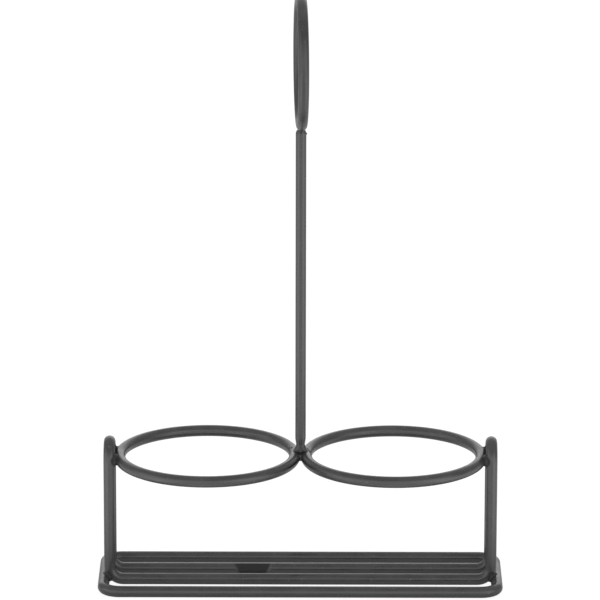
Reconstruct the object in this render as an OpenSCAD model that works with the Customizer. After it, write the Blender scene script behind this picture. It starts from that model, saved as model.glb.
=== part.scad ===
// Condiment rack for two bottles, bent and welded from coated steel wire.
// The origin is on the table, under the middle of the rack; the front faces -Y.

/* [Wire] */
// Diameter of the coated wire in the base, the cradle and the cup rings
frame_wire_d = 5.3; // [4:0.1:7]
// Diameter of the coated wire in the rod and the handle ring
handle_wire_d = 4.9; // [3.8:0.1:6]
// Inside radius of the corner bends of the base
base_bend_inside_r = 5; // [3:0.5:8]
// Inside radius of the bends at the foot of the cradle
cradle_bend_inside_r = 3.5; // [2.5:0.5:7]

/* [Cup rings] */
// Bore of a cup ring, which a bottle passes through
cup_bore = 76; // [60:1:95]
// Height of the middle of the ring wire above the table
ring_height = 60.2; // [45:0.1:85]

/* [Base and cradle] */
// Depth of the base over its front and rear wires
base_depth = 57; // [48:1:80]
// How far the base sits forward of the middle of the cradle and the rings
base_forward = 1; // [0:0.5:3]
// Depth of the cradle over its front and rear uprights
cradle_depth = 21; // [17:0.5:28]
// How far below the middle of the rings the cradle's arched tops begin
arch_drop = 1.1; // [0:0.1:2]

/* [Handle] */
// Overall height, from the table to the top of the handle ring
overall_height = 279.5; // [220:0.5:340]
// Outside diameter of the handle ring
handle_ring_od = 63; // [45:1:80]
// Turn of the handle ring about the rod, where 0 is edge-on from the front
handle_ring_turn = 2.5; // [0:0.5:90]
// Gap between the rod's top and the handle ring, filled by their weld
handle_gap = 0.5; // [0.2:0.1:1]

/* [Rod ends] */
// Depth to which the rod's foot melted away all round, above the weld
rod_neck_melt = 0.45; // [0.1:0.05:0.8]
// Height of the thin neck above the rod's foot
rod_neck_h = 2.7; // [1.5:0.1:4]
// Length over which the neck widens to the full rod
rod_neck_taper = 3.2; // [0.5:0.1:5]
// Width of the bevel round the rod's top
rod_top_bevel = 0.45; // [0.2:0.05:0.8]
// Length of the bevel round the rod's top
rod_top_bevel_h = 1.2; // [0.4:0.1:2]

/* [Welds] */
// Gap between two wires at a weld, which the weld metal fills
weld_gap = 0.1; // [0.05:0.05:0.2]
// Radius of the weld beads that join the rings to the cradle
ring_bead_r = 2.6; // [2:0.1:3.2]
// Depth of the saddle that a base side wire presses into a cradle bend as they are welded
bend_saddle = 0.8; // [0.3:0.1:1]
// Radius of the weld beads that join the cradle to the base
base_bead_r = 3; // [2:0.1:3.6]
// Radius of the weld collar that spreads from the rod's foot over the rings
foot_collar_r = 3.5; // [2.9:0.1:4.2]
// Height of the weld collar's rim above the tops of the rings
foot_collar_h = 0.7; // [0.4:0.1:1]
// Thickness of the weld collar's upper edge, round the rod's neck, and width of its flat rim
foot_collar_edge = 0.2; // [0.1:0.05:0.4]
// Radius of the weld between the rod's top and the handle ring
handle_bead_r = 1.5; // [1:0.1:1.8]

/* [Dressed butt weld] */
// Distance of the dressed flat from the middle of the cradle's rear wire
flat_offset = 22; // [10:1:40]
// Length of the flat between its run-outs
flat_length = 11; // [4:0.5:18]
// Depth of the flat below the round of the wire
flat_depth = 0.8; // [0.4:0.1:1.6]
// Radius of the grinding disc, which shapes the run-out at each end of the flat
disc_r = 6; // [4:0.5:30]
// Tilt of the flat from level, towards the front
flat_tilt = 60; // [0:5:90]

/* [Hidden] */
$fn = 180;
coat = [0.25, 0.25, 0.25];
weld_coat = [0.2, 0.2, 0.2];

// Signs of the four corners
left = -1;
right = 1;
front = -1;
rear = 1;

// Places along the wires are kept to a hundredth of a millimetre, so that lengths meet end to end
function hundredth(value) = round(100 * value) / 100;

// Wire centre lines
wire_r = frame_wire_d / 2;
rod_r = handle_wire_d / 2;
base_bend_r = base_bend_inside_r + wire_r;
cradle_bend_r = cradle_bend_inside_r + wire_r;

// Cup rings, side by side at the middle of the rack
ring_r = cup_bore / 2 + wire_r;
ring_x = hundredth(ring_r + wire_r + weld_gap / 2);
ring_top = ring_height + wire_r;

// Cradle uprights, each resting against a ring's outside
upright_y = cradle_depth / 2 - wire_r;
ring_reach = ring_r + frame_wire_d + weld_gap;
ring_bearing = asin(upright_y / ring_reach);
upright_x = hundredth(ring_x + ring_reach * cos(ring_bearing));
springing = ring_height - arch_drop;
bend_x = upright_x - cradle_bend_r;
bend_z = wire_r + cradle_bend_r;

// Base, whose side wires are pressed into the cradle's bends
base_y = base_depth / 2 - wire_r;
bend_reach = cradle_bend_r + frame_wire_d + weld_gap - bend_saddle;
bend_bearing = asin(cradle_bend_r / bend_reach);
base_x = hundredth(bend_x + bend_reach * cos(bend_bearing));

// Handle, standing on the two rings
rod_foot = ring_top + weld_gap;
handle_ring_r = handle_ring_od / 2 - rod_r;
handle_z = overall_height - handle_ring_od / 2;
rod_top = handle_z - handle_ring_od / 2 - handle_gap;
neck_r = rod_r - rod_neck_melt;

// Straight wire along X, centred
module wire_x(length) {
    rotate([0, 90, 0])
        cylinder(r = wire_r, h = length, center = true);
}

// Straight wire along Y, centred
module wire_y(length) {
    rotate([90, 0, 0])
        cylinder(r = wire_r, h = length, center = true);
}

// Bent wire about Z, from +X towards +Y
module bend(radius, r, turn) {
    rotate_extrude(angle = turn)
        translate([radius, 0])
            circle(r = r);
}

// The children, drawn in the rear right corner, in the corner that the signs name
module in_corner(side, face) {
    mirror([side == left ? 1 : 0, 0, 0])
        mirror([0, face == front ? 1 : 0, 0])
            children();
}

// The children in all four corners
module in_each_corner() {
    for (side = [left, right], face = [front, rear])
        in_corner(side, face)
            children();
}

// Right side wire of the base, between its corner bends
module base_side() {
    translate([base_x, 0, wire_r])
        wire_y(2 * (base_y - base_bend_r));
}

// Closed rectangle of wire that lies on the table
module base_wire() {
    for (face = [front, rear])
        translate([0, face * base_y, wire_r])
            wire_x(2 * (base_x - base_bend_r));
    for (side = [left, right])
        in_corner(side, rear)
            base_side();
    in_each_corner()
        translate([base_x - base_bend_r, base_y - base_bend_r, wire_r])
            bend(base_bend_r, wire_r, 90);
}

// Rear right bend at the foot of the cradle
module cradle_bend() {
    translate([bend_x, upright_y, bend_z])
        rotate([90, 0, 0])
            rotate([0, 0, -90])
                bend(cradle_bend_r, wire_r, 90);
}

// Room for the right side wire of the base where it is pressed into the cradle's bends
module base_side_room() {
    translate([base_x, 0, wire_r])
        rotate([90, 0, 0])
            cylinder(r = wire_r + weld_gap, h = 2 * cradle_depth, center = true);
}

// Rear right upright of the cradle, which hangs from its arch so that the two meet exactly
module cradle_upright() {
    translate([upright_x, upright_y, springing])
        mirror([0, 0, 1])
            cylinder(r = wire_r, h = springing - bend_z);
}

// Right arch over the two uprights of one end
module cradle_arch() {
    translate([upright_x, 0, springing])
        rotate([90, 0, 90])
            bend(upright_y, wire_r, 180);
}

// Path of the grinding disc that dressed the butt weld of the cradle's rear wire
module butt_weld_flat() {
    cut_width = 2 * frame_wire_d;
    translate([-flat_offset, upright_y, wire_r])
        rotate([flat_tilt, 0, 0])
            translate([0, 0, wire_r - flat_depth + disc_r])
                rotate([90, 0, 0]) {
                    cube([flat_length, 2 * disc_r, cut_width], center = true);
                    for (end = [left, right])
                        translate([end * flat_length / 2, 0, 0])
                            cylinder(r = disc_r, h = cut_width, center = true);
                }
}

// Closed loop: along the table, up one end, over its arch, back and up the other end
module cradle_wire() {
    difference() {
        union() {
            for (face = [front, rear])
                translate([0, face * upright_y, wire_r])
                    wire_x(2 * bend_x);
            for (side = [left, right])
                in_corner(side, rear)
                    cradle_arch();
            in_each_corner() {
                cradle_bend();
                cradle_upright();
            }
        }
        butt_weld_flat();
        for (side = [left, right])
            in_corner(side, rear)
                base_side_room();
    }
}

// One cup ring, level
module cup_ring_wire(side) {
    translate([side * ring_x, 0, ring_height])
        bend(ring_r, wire_r, 360);
}

// Upright rod with its melted foot and bevelled top
module rod_wire() {
    taper_z = rod_foot + rod_neck_h;
    shank_z = taper_z + rod_neck_taper;
    bevel_z = rod_top - rod_top_bevel_h;
    translate([0, 0, rod_foot])
        cylinder(r = neck_r, h = rod_neck_h);
    translate([0, 0, taper_z])
        cylinder(r1 = neck_r, r2 = rod_r, h = rod_neck_taper);
    translate([0, 0, shank_z])
        cylinder(r = rod_r, h = bevel_z - shank_z);
    translate([0, 0, bevel_z])
        cylinder(r1 = rod_r, r2 = rod_r - rod_top_bevel, h = rod_top_bevel_h);
}

// Finger ring, upright over the rod
module handle_ring_wire() {
    translate([0, 0, handle_z])
        rotate([90, 0, 90 + handle_ring_turn])
            bend(handle_ring_r, rod_r, 360);
}

// Bead in the groove between a cradle bend and the base's side wire
module base_weld(side, face) {
    reach = bend_reach - wire_r - weld_gap / 2;
    color(weld_coat)
        in_corner(side, face)
            difference() {
                translate([bend_x, upright_y, bend_z])
                    rotate([0, 90 + bend_bearing, 0])
                        translate([0, 0, reach])
                            sphere(r = base_bead_r);
                // Forward is away from +Y in a rear corner and, once mirrored, towards it in a front one
                translate([0, -face * base_forward, 0])
                    base_side();
                difference() {
                    cradle_bend();
                    base_side_room();
                }
            }
}

// Bead in the groove between a cup ring and one upright of the cradle
module ring_weld(side, face) {
    reach = ring_r + wire_r + weld_gap / 2;
    color(weld_coat)
        in_corner(side, face)
            difference() {
                translate([ring_x, 0, ring_height])
                    rotate([0, 90, ring_bearing])
                        translate([0, 0, reach])
                            sphere(r = ring_bead_r);
                cup_ring_wire(right);
                cradle_upright();
                cradle_arch();
            }
}

// Half section of the foot collar: a plug that rises between the rings and a hollow flare up to the neck
module foot_collar_section() {
    rim_z = ring_top - ring_height + foot_collar_h;
    flare_h = rod_neck_h - foot_collar_h;
    edge_r = neck_r + foot_collar_edge;
    spread = foot_collar_r - foot_collar_edge - edge_r;
    flare_r = (spread * spread + flare_h * flare_h) / (2 * spread);
    square([foot_collar_r, rim_z]);
    translate([0, rim_z])
        difference() {
            square([foot_collar_r, flare_h]);
            translate([edge_r + flare_r, flare_h])
                circle(r = flare_r);
        }
}

module base_frame() {
    color(coat)
        translate([0, front * base_forward, 0])
            base_wire();
}

module cradle_frame() {
    color(coat)
        cradle_wire();
}

module left_cup_ring() {
    color(coat)
        cup_ring_wire(left);
}

module right_cup_ring() {
    color(coat)
        cup_ring_wire(right);
}

module handle_rod() {
    color(coat)
        rod_wire();
}

module handle_ring() {
    color(coat)
        handle_ring_wire();
}

// Weld that fills the valley between the rings and spreads round the rod's foot
module rod_foot_weld() {
    color(weld_coat)
        difference() {
            translate([0, 0, ring_height])
                rotate_extrude()
                    foot_collar_section();
            cup_ring_wire(left);
            cup_ring_wire(right);
            rod_wire();
        }
}

// Small weld between the rod's flat top and the round underside of the handle ring
module handle_ring_weld() {
    color(weld_coat)
        difference() {
            translate([0, 0, rod_top])
                cylinder(r = handle_bead_r, h = handle_gap + rod_r);
            handle_ring_wire();
        }
}

base_frame();
cradle_frame();
left_cup_ring();
right_cup_ring();
handle_rod();
handle_ring();
base_weld(left, front);  // front_left_base_weld
base_weld(right, front);  // front_right_base_weld
base_weld(left, rear);  // rear_left_base_weld
base_weld(right, rear);  // rear_right_base_weld
ring_weld(left, front);  // front_left_ring_weld
ring_weld(right, front);  // front_right_ring_weld
ring_weld(left, rear);  // rear_left_ring_weld
ring_weld(right, rear);  // rear_right_ring_weld
rod_foot_weld();
handle_ring_weld();
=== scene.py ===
import math
from functools import partial

import bmesh
import bpy
from mathutils import Matrix, Vector, noise


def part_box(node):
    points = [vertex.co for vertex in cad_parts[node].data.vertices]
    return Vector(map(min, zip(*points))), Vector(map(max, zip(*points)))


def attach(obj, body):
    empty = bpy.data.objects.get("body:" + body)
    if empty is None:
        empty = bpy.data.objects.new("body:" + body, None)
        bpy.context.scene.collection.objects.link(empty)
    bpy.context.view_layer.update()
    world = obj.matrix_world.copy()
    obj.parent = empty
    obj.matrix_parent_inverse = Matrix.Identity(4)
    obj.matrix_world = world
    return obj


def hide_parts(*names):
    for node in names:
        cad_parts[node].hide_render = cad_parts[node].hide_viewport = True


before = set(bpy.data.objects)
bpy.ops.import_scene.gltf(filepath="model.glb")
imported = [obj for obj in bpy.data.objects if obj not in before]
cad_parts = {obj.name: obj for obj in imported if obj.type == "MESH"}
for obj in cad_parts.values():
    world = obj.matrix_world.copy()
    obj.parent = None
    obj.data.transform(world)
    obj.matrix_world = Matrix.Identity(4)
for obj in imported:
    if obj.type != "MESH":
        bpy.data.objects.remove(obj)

scene = bpy.context.scene
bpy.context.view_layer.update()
print("frame loaded:", len(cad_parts), "nodes")

mm = 0.001  # sizes below are in millimetres times this
speck = 0.001 * mm  # a size too small to show


# Camera, at the photograph's angle

cameraLook = {
    "target": (-0.35 * mm, 0, 135.45 * mm),
    "distance": 2500 * mm,
    "azimuth": 0.1,  # degrees, 0 looks along +Y
    "elevation": 15.44,
    "roll": 0.1,
    "focalPixels": 5420,
    "imagePixels": 600,
    "sensor": 36,
    "clip": (0.1, 50),
}


def makeCamera(look):
    data = bpy.data.cameras.new("camera")
    data.sensor_width = look["sensor"]
    data.lens = look["focalPixels"] / look["imagePixels"] * look["sensor"]
    data.clip_start, data.clip_end = look["clip"]
    camera = bpy.data.objects.new("camera", data)
    scene.collection.objects.link(camera)
    azimuth = math.radians(look["azimuth"])
    elevation = math.radians(look["elevation"])
    back = Vector((
        math.sin(azimuth) * math.cos(elevation),
        -math.cos(azimuth) * math.cos(elevation),
        math.sin(elevation),
    ))
    roll = Matrix.Rotation(math.radians(look["roll"]), 4, "Z")
    turn = (-back).to_track_quat("-Z", "Y").to_matrix().to_4x4()
    place = Vector(look["target"]) + back * look["distance"]
    camera.matrix_world = Matrix.Translation(place) @ turn @ roll
    scene.camera = camera


makeCamera(cameraLook)
print("camera placed")


# Shader sockets

class Shade:  # wraps an output socket, so that shader maths reads as plain arithmetic
    def __init__(self, tree, socket=None):
        self.tree = tree
        self.socket = socket

    def node(self, kind, settings, inputs, output=0):
        made = self.tree.nodes.new(kind)
        for name, value in settings.items():
            setattr(made, name, value)
        for name, value in inputs.items():
            if isinstance(value, Shade):
                self.tree.links.new(value.socket, made.inputs[name])
            else:
                made.inputs[name].default_value = value
        if made.outputs:
            return Shade(self.tree, made.outputs[output])

    def math(self, operation, first, second):
        return self.node("ShaderNodeMath", {"operation": operation}, {0: first, 1: second})

    def __add__(self, other):
        return self.math("ADD", self, other)

    def __radd__(self, other):
        return self.math("ADD", other, self)

    def __sub__(self, other):
        return self.math("SUBTRACT", self, other)

    def __rsub__(self, other):
        return self.math("SUBTRACT", other, self)

    def __mul__(self, other):
        return self.math("MULTIPLY", self, other)

    def __rmul__(self, other):
        return self.math("MULTIPLY", other, self)

    def __truediv__(self, other):
        return self.math("DIVIDE", self, other)

    def __rtruediv__(self, other):
        return self.math("DIVIDE", other, self)

    def __abs__(self):
        return self.math("ABSOLUTE", self, 0)


def newMaterial(name):
    material = bpy.data.materials.new(name)
    material.use_nodes = True
    tree = material.node_tree
    tree.nodes.clear()
    start = Shade(tree)
    place = start.node("ShaderNodeTexCoord", {}, {}, "Object")
    return material, start, place


def axesOf(place, axes):
    return [place.node("ShaderNodeSeparateXYZ", {}, {"Vector": place}, axis) for axis in axes]


def noiseOf(place, size, detail):
    return place.node("ShaderNodeTexNoise", {}, {
        "Vector": place, "Scale": 1 / size, "Detail": detail,
    }, "Fac")


def rise(value, low, high):  # 0 below low, 1 above high
    return value.node("ShaderNodeMapRange", {"interpolation_type": "SMOOTHSTEP"}, {
        "Value": value, "From Min": low, "From Max": high,
    })


def blendColours(factor, first, second):  # sockets 6, 7 and 2 of a Mix node are its colours
    return factor.node("ShaderNodeMix", {"data_type": "RGBA"}, {
        "Factor": factor, 6: first, 7: second,
    }, 2)


# Wire centre lines, read off the frame

baseLow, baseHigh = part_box("base_frame")
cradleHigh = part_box("cradle_frame")[1]
ringLow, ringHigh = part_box("right_cup_ring")
rodLow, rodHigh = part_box("handle_rod")
loopLow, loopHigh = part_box("handle_ring")

bendInsideR = 3.5 * mm  # inside radius of the cradle's bends

wireR = (baseHigh.z - baseLow.z) / 2
rodR = (rodHigh.x - rodLow.x) / 2
baseX = baseHigh.x - wireR
uprightX = cradleHigh.x - wireR
uprightY = cradleHigh.y - wireR
springing = cradleHigh.z - wireR - uprightY  # where the uprights turn into the arch
bendR = bendInsideR + wireR
bendX = uprightX - bendR
bendZ = wireR + bendR
ringX = (ringLow.x + ringHigh.x) / 2
ringZ = (ringLow.z + ringHigh.z) / 2
ringR = (ringHigh.x - ringLow.x) / 2 - wireR
loopZ = (loopLow.z + loopHigh.z) / 2
loopR = (loopHigh.z - loopLow.z) / 2 - rodR


# Powder coat

coatLook = {
    "dark": (0.014, 0.014, 0.014, 1),
    "light": (0.021, 0.021, 0.021, 1),
    "nib": (0.05, 0.05, 0.05, 1),
    "cloudSize": 9 * mm,
    "cloudEdges": (0.3, 0.7),
    "peelSize": 1.3 * mm,
    "peelDepth": 0.012 * mm,
    "grainSize": 0.22 * mm,
    "grainDepth": 0.002 * mm,
    "nibSize": 1.1 * mm,
    "nibEdges": (0.76, 0.84),
    "roughness": 0.32,
    "roughnessSpread": 0.10,
    "gloss": 1.0,
}

loopLook = {**coatLook, "gloss": 0.82}

# over the welds the coat is rougher and duller, its own finish, and darker: the darker colour is painted
# shade for the crevices that the welds fill
weldLook = {
    **coatLook,
    "dark": (0.009, 0.009, 0.009, 1),
    "light": (0.015, 0.015, 0.015, 1),
    "cloudSize": 2.2 * mm,
    "peelSize": 0.7 * mm,
    "peelDepth": 0.05 * mm,
    "roughness": 0.46,
    "gloss": 0.5,
}

# the collar's lighter tone is the wires' own; its dark tone keeps the welds' painted shade
collarLook = {**weldLook, "light": (0.021, 0.021, 0.021, 1), "roughness": 0.36, "gloss": 1.0}

dressedFlatShade = {  # where the butt weld of the cradle's rear wire was ground flat; the patch is duller, its own finish, and darker in painted shade for the dark surroundings that the flat mirrors
    "middle": -22.4 * mm,
    "front": (-0.75 * mm, -0.45 * mm),  # depths from the wire's middle between which the dull, shaded patch begins
    "ends": (6.2 * mm, 7.9 * mm),  # distances along the wire between which it ends
    "flare": 0.54,  # how much longer it is for each unit of height
    # darker than the coat: painted shade
    "colour": (0.011, 0.011, 0.011, 1),
    "roughness": 0.5,
    "gloss": 0.35,
}


def coatShader(start, colour, roughness, bump, gloss):
    return start.node("ShaderNodeBsdfPrincipled", {}, {
        "Base Color": colour, "Roughness": roughness, "Normal": bump, "Specular IOR Level": gloss,
    })


def maskOfFlat(place, look):
    along, depth, height = axesOf(place, "XYZ")
    onRearWire = rise(depth, -wireR, wireR)
    facing = onRearWire * (1 - rise(depth - uprightY, *look["front"]))
    offset = abs(along - look["middle"]) - look["flare"] * (height - wireR)
    return facing * (1 - rise(offset, *look["ends"]))


def powderCoat(name, look, flat=None):
    material, start, place = newMaterial(name)
    cloud = rise(noiseOf(place, look["cloudSize"], detail=3), *look["cloudEdges"])
    peel = noiseOf(place, look["peelSize"], detail=1)
    grain = noiseOf(place, look["grainSize"], detail=1)
    nibs = rise(noiseOf(place, look["nibSize"], detail=0), *look["nibEdges"])
    colour = blendColours(cloud, look["dark"], look["light"])
    colour = blendColours(nibs, colour, look["nib"])
    roughness = look["roughness"] + look["roughnessSpread"] * (grain + cloud - 1)
    relief = peel * look["peelDepth"] + grain * look["grainDepth"]
    bump = start.node("ShaderNodeBump", {}, {"Height": relief, "Strength": 1, "Distance": 1}, "Normal")
    surface = coatShader(start, colour, roughness, bump, look["gloss"])
    if flat:
        # the dressed flat: duller, and darker in painted shade
        ground = coatShader(start, flat["colour"], flat["roughness"], bump, flat["gloss"])
        surface = start.node("ShaderNodeMixShader", {}, {
            "Fac": maskOfFlat(place, flat), 1: surface, 2: ground,
        })
    start.node("ShaderNodeOutputMaterial", {}, {"Surface": surface})
    return material


wireCoat = powderCoat("satin black powder coat", coatLook)
cradleCoat = powderCoat("satin black powder coat with a dressed weld", coatLook, dressedFlatShade)
loopCoat = powderCoat("duller powder coat", loopLook)
weldCoat = powderCoat("powder coat over weld metal, darker in painted shade", weldLook)
collarCoat = powderCoat("powder coat over a smooth weld", collarLook)


def dress(piece, material):
    piece.data.materials.clear()
    piece.data.materials.append(material)


for name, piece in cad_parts.items():
    dress(piece, weldCoat if name.endswith("_weld") else wireCoat)
dress(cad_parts["cradle_frame"], cradleCoat)
dress(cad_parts["handle_ring"], loopCoat)
print("powder coat on every node")


# How far a point lies outside each wire; side is -1 at the left and face -1 at the front

def outsideBaseSide(point, side):
    return math.hypot(point.x - side * baseX, point.z - wireR) - wireR


def outsideCradle(point, side, face):
    x = point.x * side
    y = point.y * face
    if point.z > springing:
        return math.hypot(x - uprightX, math.hypot(y, point.z - springing) - uprightY) - wireR
    if point.z > bendZ:
        across = x - uprightX
    elif x > bendX:
        across = math.hypot(x - bendX, point.z - bendZ) - bendR
    else:
        across = point.z - wireR
    return math.hypot(across, y - uprightY) - wireR


def outsideCupRing(point, side):
    across = math.hypot(point.x - side * ringX, point.y) - ringR
    return math.hypot(across, point.z - ringZ) - wireR


def outsideRod(point):
    return max(math.hypot(point.x, point.y) - rodR, point.z - rodHigh.z)


def outsideLoop(point):
    across = math.hypot(point.y, point.z - loopZ) - loopR
    return math.hypot(across, point.x) - rodR


# Weld beads: a ball's points are pushed out to the fillet between the two wires that the bead joins

baseBead = {
    "reach": 4.6 * mm,  # the bead runs out into the wires at this distance
    "full": 0.3,  # share of the reach over which the fillet keeps its full size
    "fillet": 3.4 * mm,
    "crown": 0.1 * mm,
    "lumpSize": 1.3 * mm,
    "lumpDepth": 0.2 * mm,
    "sink": 0.06 * mm,
    "detail": 5,
}
ringBead = {
    **baseBead,
    "reach": 6.2 * mm,
    "full": 0.25,
    "fillet": 2.8 * mm,
    "crown": 0,
    "lumpDepth": 0.15 * mm,
}
tableGap = 0.05 * mm  # least height of weld metal above the table
pushSteps = 20  # steps that a point takes over the bead's reach
pushHalvings = 6  # and then halvings of its last step


def outsideBead(point, centre, look, wires):
    share = min((point - centre).length / look["reach"], 1)
    run = max(share - look["full"], 0) / (1 - look["full"])
    taper = 1 - run * run * (3 - 2 * run)  # 1 at the heart of the bead, 0 at its rim
    fillet = max(look["fillet"] * taper, speck)
    first, second = [wire(point) for wire in wires]
    overlap = max(fillet - abs(first - second), 0) / fillet  # 1 where both wires are as near
    surface = min(first, second) - overlap * overlap * fillet / 4
    lump = look["lumpDepth"] * noise.noise(point / look["lumpSize"])
    filled = overlap * taper
    surface += look["sink"] * (1 - filled) - (look["crown"] + lump) * filled
    return max(surface, tableGap - point.z)


def pushOut(centre, way, look, wires):
    step = look["reach"] / pushSteps
    inner, outer = 0, step
    while outer < look["reach"] and outsideBead(centre + way * outer, centre, look, wires) < 0:
        inner, outer = outer, outer + step
    for halving in range(pushHalvings):
        middle = (inner + outer) / 2
        if outsideBead(centre + way * middle, centre, look, wires) < 0:
            inner = middle
        else:
            outer = middle
    return centre + way * inner


def makeBead(look, centre, wires):
    shape = bmesh.new()
    bmesh.ops.create_icosphere(shape, subdivisions=look["detail"], radius=1)
    for vert in shape.verts:
        vert.co = pushOut(centre, vert.co.normalized(), look, wires)
    return shape


def finishWeld(node, shape, material=weldCoat):
    for facet in shape.faces:
        facet.smooth = True
    mesh = bpy.data.meshes.new(node + "_bead")
    shape.to_mesh(mesh)
    shape.free()
    bead = bpy.data.objects.new(node + "_bead", mesh)
    scene.collection.objects.link(bead)
    dress(bead, material)
    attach(bead, "root")
    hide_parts(node)


def nearSurface(start, wire):  # the place, on the way to a wire's middle, where its surface begins
    way = wire - start
    return start + way.normalized() * (way.length - wireR)


sides = {"left": -1, "right": 1}
faces = {"front": -1, "rear": 1}

for faceName, face in faces.items():
    for sideName, side in sides.items():
        corner = faceName + "_" + sideName
        baseSide = partial(outsideBaseSide, side=side)
        cradle = partial(outsideCradle, side=side, face=face)
        cupRing = partial(outsideCupRing, side=side)
        bendMiddle = Vector((side * bendX, face * uprightY, bendZ))
        baseMiddle = Vector((side * baseX, face * uprightY, wireR))
        shape = makeBead(baseBead, nearSurface(bendMiddle, baseMiddle), [baseSide, cradle])
        finishWeld(corner + "_base_weld", shape)
        ringMiddle = Vector((side * ringX, 0, ringZ))
        uprightMiddle = Vector((side * uprightX, face * uprightY, ringZ))
        shape = makeBead(ringBead, nearSurface(ringMiddle, uprightMiddle), [cupRing, cradle])
        finishWeld(corner + "_ring_weld", shape)
print("weld beads filled in at the corners and the rings")


# Rod foot: a flared collar over metal that fills the valley between the rings, and drops of spatter

valleyBead = {
    **baseBead,
    "lift": 0.3 * mm,  # of its centre, from the rings' middle
    "reach": 5.6 * mm,
    "full": 0.65,
    "fillet": 1.9 * mm,
    "crown": 0.05 * mm,
    "lumpDepth": 0.12 * mm,
}

footCollar = {
    "top": 3.9 * mm,  # heights are from the rod's foot
    "topR": 1.97 * mm,
    "flareTop": 3.3 * mm,  # from here the collar widens to its lip
    "flareR": 2.0 * mm,
    "flarePower": 1.8,
    "flareSteps": 12,
    "lipCentre": (3.1 * mm, 0.12 * mm),
    "lipR": 0.4 * mm,
    "lipTurn": (90, -45),  # degrees above level between which the lip is round
    "lipSteps": 6,
    "skirt": ((3.25 * mm, -0.5 * mm), (3.1 * mm, -1.2 * mm), (2.8 * mm, -2.2 * mm), (0, -2.75 * mm)),
    "neck": 2.04 * mm,  # above its lip the collar keeps this radius at its front and rear
    "lip": 0.65 * mm,  # height up to which its points belong to the lip
    "squeeze": 0.15,  # the lip is narrower by this share, and higher, at its front and rear
    "lift": 0.3 * mm,
    "steps": 72,
    "lumpSize": 1.6 * mm,
    "lumpDepth": 0.12 * mm,
}

spatter = {
    "drops": (  # side, bearing to the rear, roll about the ring's wire, radius
        (-1, 10.2, 139, 0.6 * mm),
        (-1, 8.1, 112, 0.5 * mm),
        (1, 4.2, 98, 0.6 * mm),
        (1, 2.2, 116, 0.5 * mm),
        (1, 0, 130, 0.6 * mm),
    ),
    "flatness": 0.6,
    "detail": 3,
}


def collarOutline(look):  # radius and height of each point, from the top down
    lipX, lipZ = look["lipCentre"]
    lipTop = lipZ + look["lipR"]
    points = [(0, look["top"]), (look["topR"], look["top"])]
    for step in range(look["flareSteps"]):
        share = step / look["flareSteps"]
        radius = look["flareR"] + (lipX - look["flareR"]) * share ** look["flarePower"]
        points.append((radius, look["flareTop"] + (lipTop - look["flareTop"]) * share))
    turnFrom, turnTo = look["lipTurn"]
    for step in range(look["lipSteps"] + 1):
        turn = math.radians(turnFrom + (turnTo - turnFrom) * step / look["lipSteps"])
        points.append((lipX + look["lipR"] * math.cos(turn), lipZ + look["lipR"] * math.sin(turn)))
    return points + list(look["skirt"])


def makeCollar(look):
    shape = bmesh.new()
    rim = [shape.verts.new((radius, 0, rodLow.z + height)) for radius, height in collarOutline(look)]
    edges = [shape.edges.new(pair) for pair in zip(rim, rim[1:])]
    bmesh.ops.spin(
        shape, geom=rim + edges, cent=(0, 0, 0), axis=(0, 0, 1), angle=2 * math.pi,
        steps=look["steps"], use_merge=True,
    )
    bmesh.ops.remove_doubles(shape, verts=shape.verts, dist=speck)
    bmesh.ops.recalc_face_normals(shape, faces=shape.faces)
    for vert in shape.verts:
        away = Vector((vert.co.x, vert.co.y, 0))
        if away.length > 0:
            if vert.co.z - rodLow.z > look["lip"]:
                vert.co.y *= min(look["neck"] / away.length, 1)
            else:
                vert.co.y *= 1 - look["squeeze"]
                vert.co.z += look["lift"] * (away.y / away.length) ** 2
            vert.co += away.normalized() * look["lumpDepth"] * noise.noise(vert.co / look["lumpSize"])
    mesh = bpy.data.meshes.new("collar")
    shape.to_mesh(mesh)
    shape.free()
    return mesh


def addDrop(shape, place, normal, radius):
    turn = normal.to_track_quat("Z", "Y").to_matrix().to_4x4()
    flatten = Matrix.Diagonal((1, 1, spatter["flatness"], 1))
    matrix = Matrix.Translation(place) @ turn @ flatten
    bmesh.ops.create_icosphere(shape, subdivisions=spatter["detail"], radius=radius, matrix=matrix)


def addSpatter(shape, drops):
    for side, bearing, roll, radius in drops:
        bearing = math.radians(bearing)
        roll = math.radians(roll)
        outward = Vector((-side * math.cos(bearing), math.sin(bearing), 0))
        normal = outward * math.cos(roll) + Vector((0, 0, math.sin(roll)))
        wireMiddle = Vector((side * ringX, 0, ringZ)) + outward * ringR
        addDrop(shape, wireMiddle + normal * wireR, normal, radius)


bothRings = [partial(outsideCupRing, side=side) for side in sides.values()]
shape = makeBead(valleyBead, Vector((0, 0, ringZ + valleyBead["lift"])), bothRings)
addSpatter(shape, spatter["drops"])
collar = makeCollar(footCollar)
shape.from_mesh(collar)
bpy.data.meshes.remove(collar)
finishWeld("rod_foot_weld", shape, collarCoat)
print("rod welded at its foot")


# Rod top: a small weld under the handle ring, with a burr at its right

loopBead = {
    **baseBead,
    "reach": 1.8 * mm,
    "full": 0.3,
    "fillet": 1.6 * mm,
    "crown": 0,
    "lumpDepth": 0.08 * mm,
}
burr = {"drop": 1.6 * mm, "radius": 0.5 * mm}  # its middle lies this far below the rod's top

shape = makeBead(loopBead, Vector((0, 0, (rodHigh.z + loopLow.z) / 2)), [outsideRod, outsideLoop])
addDrop(shape, Vector((rodR, 0, rodHigh.z - burr["drop"])), Vector((1, 0, 0)), burr["radius"])
finishWeld("handle_ring_weld", shape)
print("rod welded under the handle ring")


# Floor: the camera sees a plain one, and a second one under it lights and mirrors in the wires; that one
# glows, and carries painted shade under and around the rack, in strips in front of the upright wires, and
# at the sides and rear

seenFloorLook = {
    "drop": 0.02 * mm,
    "colour": (0.08, 0.08, 0.08, 1),
    "glow": 11.6,
}

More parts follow.
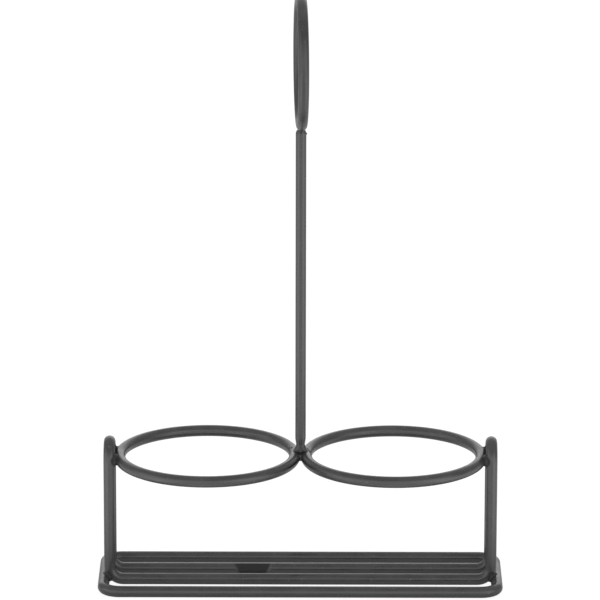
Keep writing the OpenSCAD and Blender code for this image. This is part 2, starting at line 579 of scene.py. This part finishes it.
bounceFloorLook = {
    "drop": 0.04 * mm,
    "pale": (0.98, 0.98, 0.98, 1),
    "laneShade": (0.58, 0.58, 0.58, 1),  # painted shade in front of each upright wire, and to the sides
    # painted shade behind the rack
    "rear": (0.38, 0.38, 0.38, 1),
    "shade": (0.37, 0.37, 0.37, 1),  # painted shadow under the rack
    # painted light: the hidden floor glows in its own colour, so its painted shade dims the glow too
    "glow": 0.75,
    "laneSlopes": (0.2, 0.8),  # slopes, seen from a wire's foot, between which its strip of painted shade fades out
    "dimSides": (60, 95),  # bearings, in degrees off the front, between which painted shade dims the floor
    "dimRear": (95, 135),  # and between which more painted shade dims it again
    "shadeFront": (-6 * mm, 70 * mm),  # distances outside the base wires between which the shade fades out
    "shadeRear": (15 * mm, 150 * mm),
    "shadeSide": (0, 120 * mm),
}
floorSize = 12
nearestAhead = 1 * mm  # least distance in front of a wire's foot, for a lane's slope


def bearingOf(across, depth):  # degrees, 0 towards the camera and positive to the right
    return across.math("ARCTAN2", across, 0 - depth) * math.degrees(1)


def plainColour(place, look):
    return look["colour"]


# the hidden floor's colour: pale, with painted shade in strips in front of the upright wires, at the sides
# and rear, and under the rack
def paintedShadeFloorColour(place, look):
    across, depth = axesOf(place, "XY")
    ahead = depth.math("MAXIMUM", 0 - depth, nearestAhead)
    turned = abs(bearingOf(across, depth))
    # painted shade dims the floor at the sides
    unshaded = 1 - rise(turned, *look["dimSides"])
    # a strip of painted shade in front of each upright wire
    for foot in (-uprightX, 0, uprightX):
        unshaded = unshaded * rise(abs(across - foot) / ahead, *look["laneSlopes"])
    colour = blendColours(unshaded, look["laneShade"], look["pale"])
    # and more painted shade behind the rack
    colour = blendColours(rise(turned, *look["dimRear"]), colour, look["rear"])
    # clear is 0 under the rack, in its painted shadow, and 1 well outside it
    clear = rise(baseLow.y + wireR - depth, *look["shadeFront"])
    clear = clear + rise(depth - (baseHigh.y - wireR), *look["shadeRear"])
    clear = clear + rise(abs(across) - baseX, *look["shadeSide"])
    return blendColours(rise(clear, 0, 1), look["shade"], colour)


def makeFloor(name, look, colourOf):
    mesh = bpy.data.meshes.new(name)
    shape = bmesh.new()
    bmesh.ops.create_grid(shape, x_segments=1, y_segments=1, size=floorSize / 2)
    bmesh.ops.translate(shape, verts=shape.verts, vec=(0, 0, -look["drop"]))
    shape.to_mesh(mesh)
    shape.free()
    floor = bpy.data.objects.new(name, mesh)
    scene.collection.objects.link(floor)
    material, start, place = newMaterial(name + " finish")
    colour = colourOf(place, look)
    surface = start.node("ShaderNodeBsdfPrincipled", {}, {
        "Base Color": colour, "Roughness": 1, "Specular IOR Level": 0,
        "Emission Color": colour, "Emission Strength": look["glow"],
    })
    start.node("ShaderNodeOutputMaterial", {}, {"Surface": surface})
    dress(floor, material)
    return floor


seenFloor = makeFloor("floor", seenFloorLook, plainColour)
seenFloor.visible_diffuse = False
seenFloor.visible_glossy = False
bounceFloor = makeFloor("bounceFloor", bounceFloorLook, paintedShadeFloorColour)
bounceFloor.visible_camera = False
print("floors laid")


# Studio light

studio = {
    "front": 1.45,
    "back": 1.7,
    "side": 0.5,
    "leftWall": (-85, -115, -145, -172),  # bearings where the side wall fades in and out again
    "rightWall": (60, 95, 140, 172),
    "key": 0.4,  # what a soft key light adds to the front wall
    "keyBearing": 45,
    "keyFade": (8, 25),  # degrees from its middle between which the key light fades out
    "overhead": 0.6,
    "wallTop": (0.3, 0.7),  # sines of the elevations between which the walls pass into the ceiling
}

overheadLamp = {
    "height": 1.6,
    "size": 2.6,
    "watts": 44,
}


def makeWorld(look):
    world = bpy.data.worlds.new("studio")
    world.use_nodes = True
    tree = world.node_tree
    tree.nodes.clear()
    start = Shade(tree)
    way = start.node("ShaderNodeTexCoord", {}, {}, "Generated")
    across, depth, height = axesOf(way, "XYZ")
    ends = look["front"] + (look["back"] - look["front"]) * rise(depth, -1, 1)
    bearing = bearingOf(across, depth)
    walls = ends + look["key"] * (1 - rise(abs(bearing - look["keyBearing"]), *look["keyFade"]))
    for nearFrom, nearTo, farFrom, farTo in (look["leftWall"], look["rightWall"]):
        aside = rise(bearing, nearFrom, nearTo) * (1 - rise(bearing, farFrom, farTo))
        walls = walls * (1 - aside) + look["side"] * aside
    ceiling = rise(height, *look["wallTop"])
    light = walls * (1 - ceiling) + look["overhead"] * ceiling
    shader = start.node("ShaderNodeBackground", {}, {"Strength": light})
    start.node("ShaderNodeOutputWorld", {}, {"Surface": shader})
    scene.world = world


def makeLamp(name, look):  # an area lamp shines down, as it is made
    data = bpy.data.lights.new(name, "AREA")
    data.shape = "SQUARE"
    data.size = look["size"]
    data.energy = look["watts"]
    lamp = bpy.data.objects.new(name, data)
    lamp.location = (0, 0, look["height"])
    lamp.visible_glossy = False
    scene.collection.objects.link(lamp)


makeWorld(studio)
makeLamp("overheadLamp", overheadLamp)
scene.view_settings.view_transform = "Standard"
print("studio lit")
